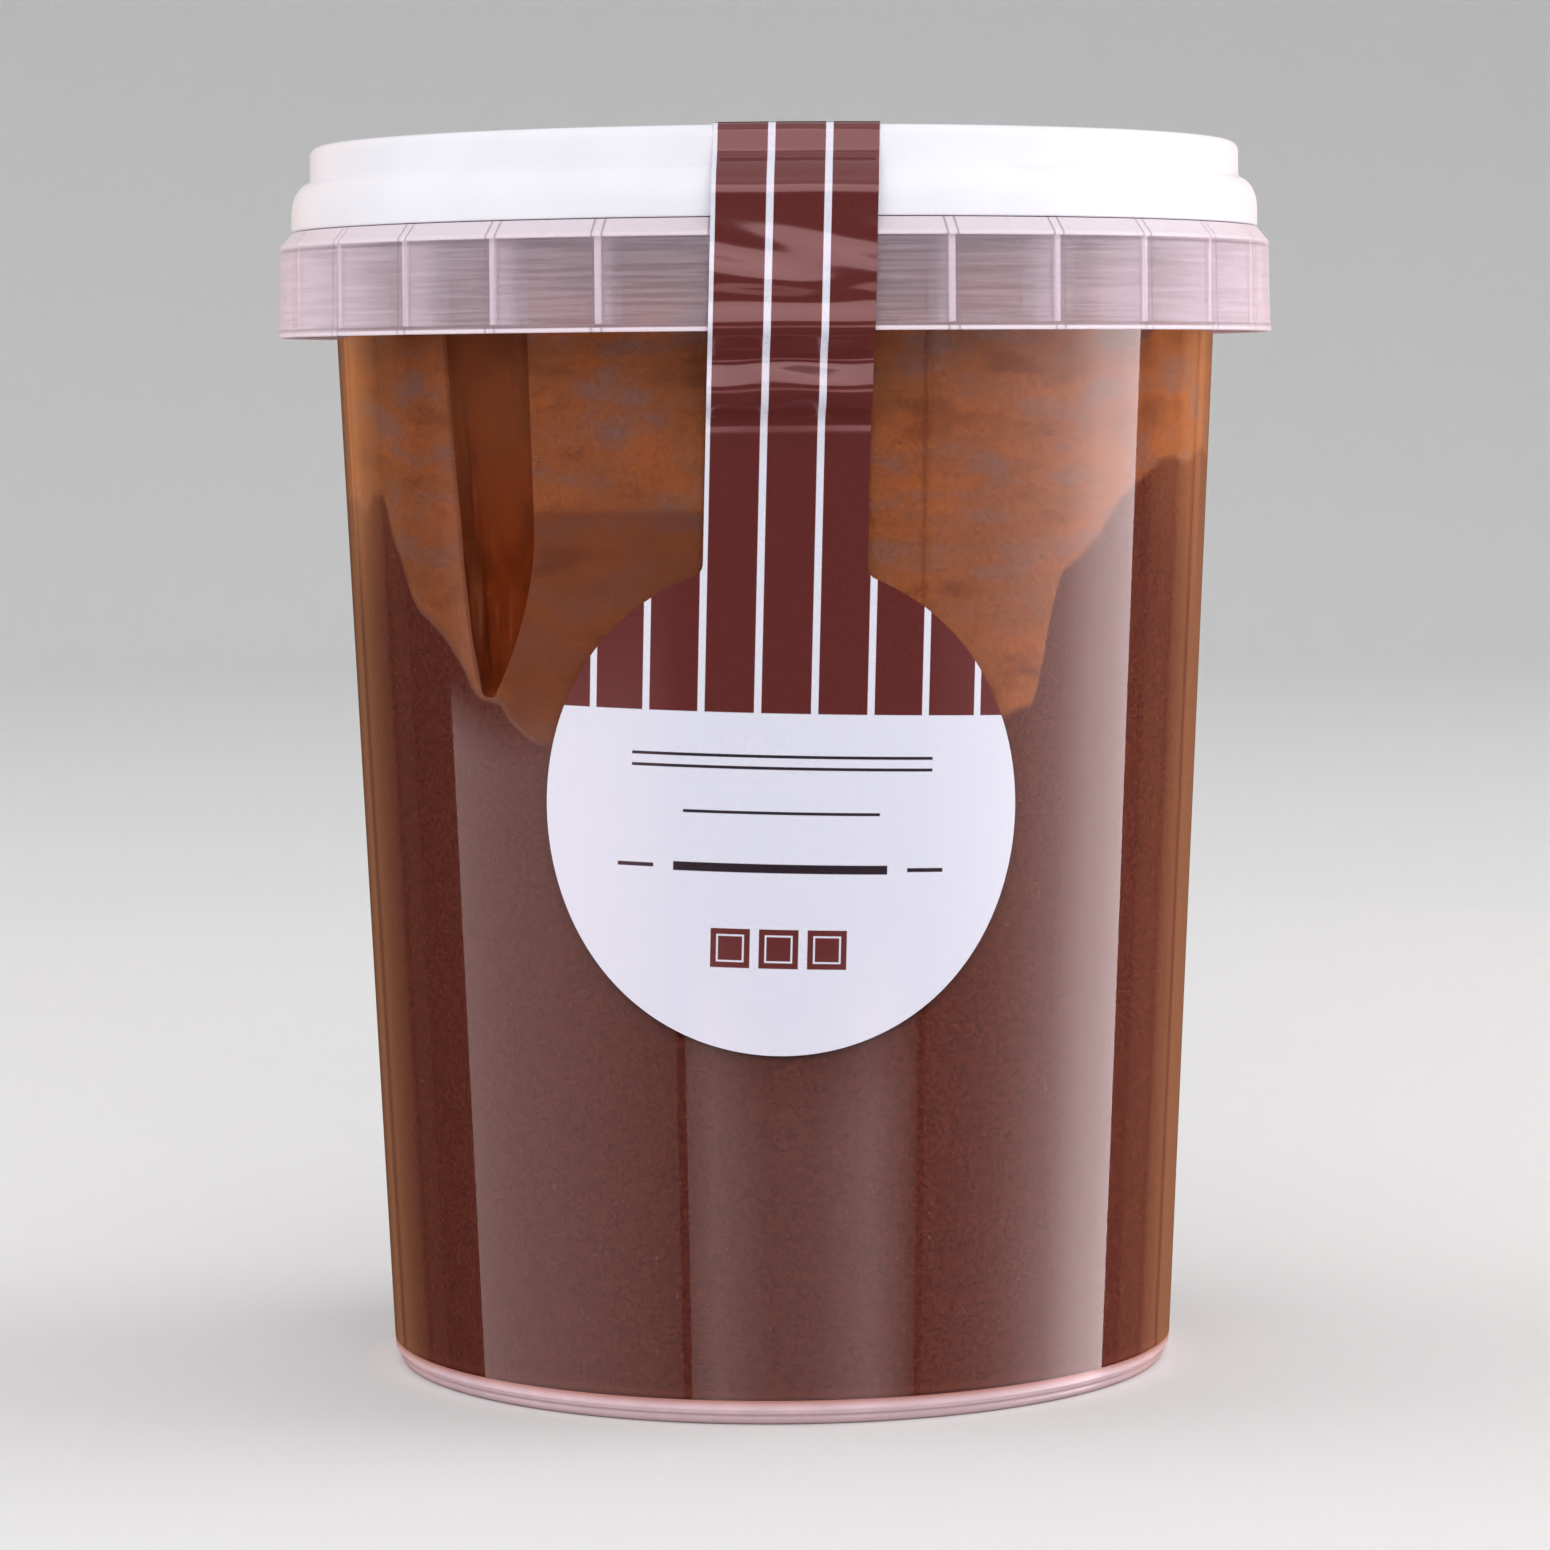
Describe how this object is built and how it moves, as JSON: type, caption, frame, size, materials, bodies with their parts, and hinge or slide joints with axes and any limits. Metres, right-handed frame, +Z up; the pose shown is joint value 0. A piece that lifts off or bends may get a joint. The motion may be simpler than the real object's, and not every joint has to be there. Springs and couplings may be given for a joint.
{
  "type": "lidded plastic tub of chocolate cream",
  "caption": "Shut, tapered clear plastic tub full of chocolate cream, with a white press-fit lid, a ribbed collar and a paper seal label that ends in a round badge",
  "frame": {"origin": "centre of the base, on the surface that the tub stands on", "axes": "+Z up along the tub's axis, the label faces -Y, +X to the right as the label is read"},
  "size_m": [0.118, 0.1188, 0.1456],
  "materials": {
    "clear_plastic": "clear natural polypropylene, frosted on the collar",
    "white_plastic": "satin moulded white plastic",
    "chocolate_cream": "smooth set cream with fine bubbles, stands in for food",
    "label_paper": "semi-gloss coated paper, brown with white stripes and a white field"
  },
  "bodies": {
    "root": {"tub": "clear_plastic", "lid": "white_plastic", "cream": "chocolate_cream", "label": "label_paper"}
  },
  "joints": []
}
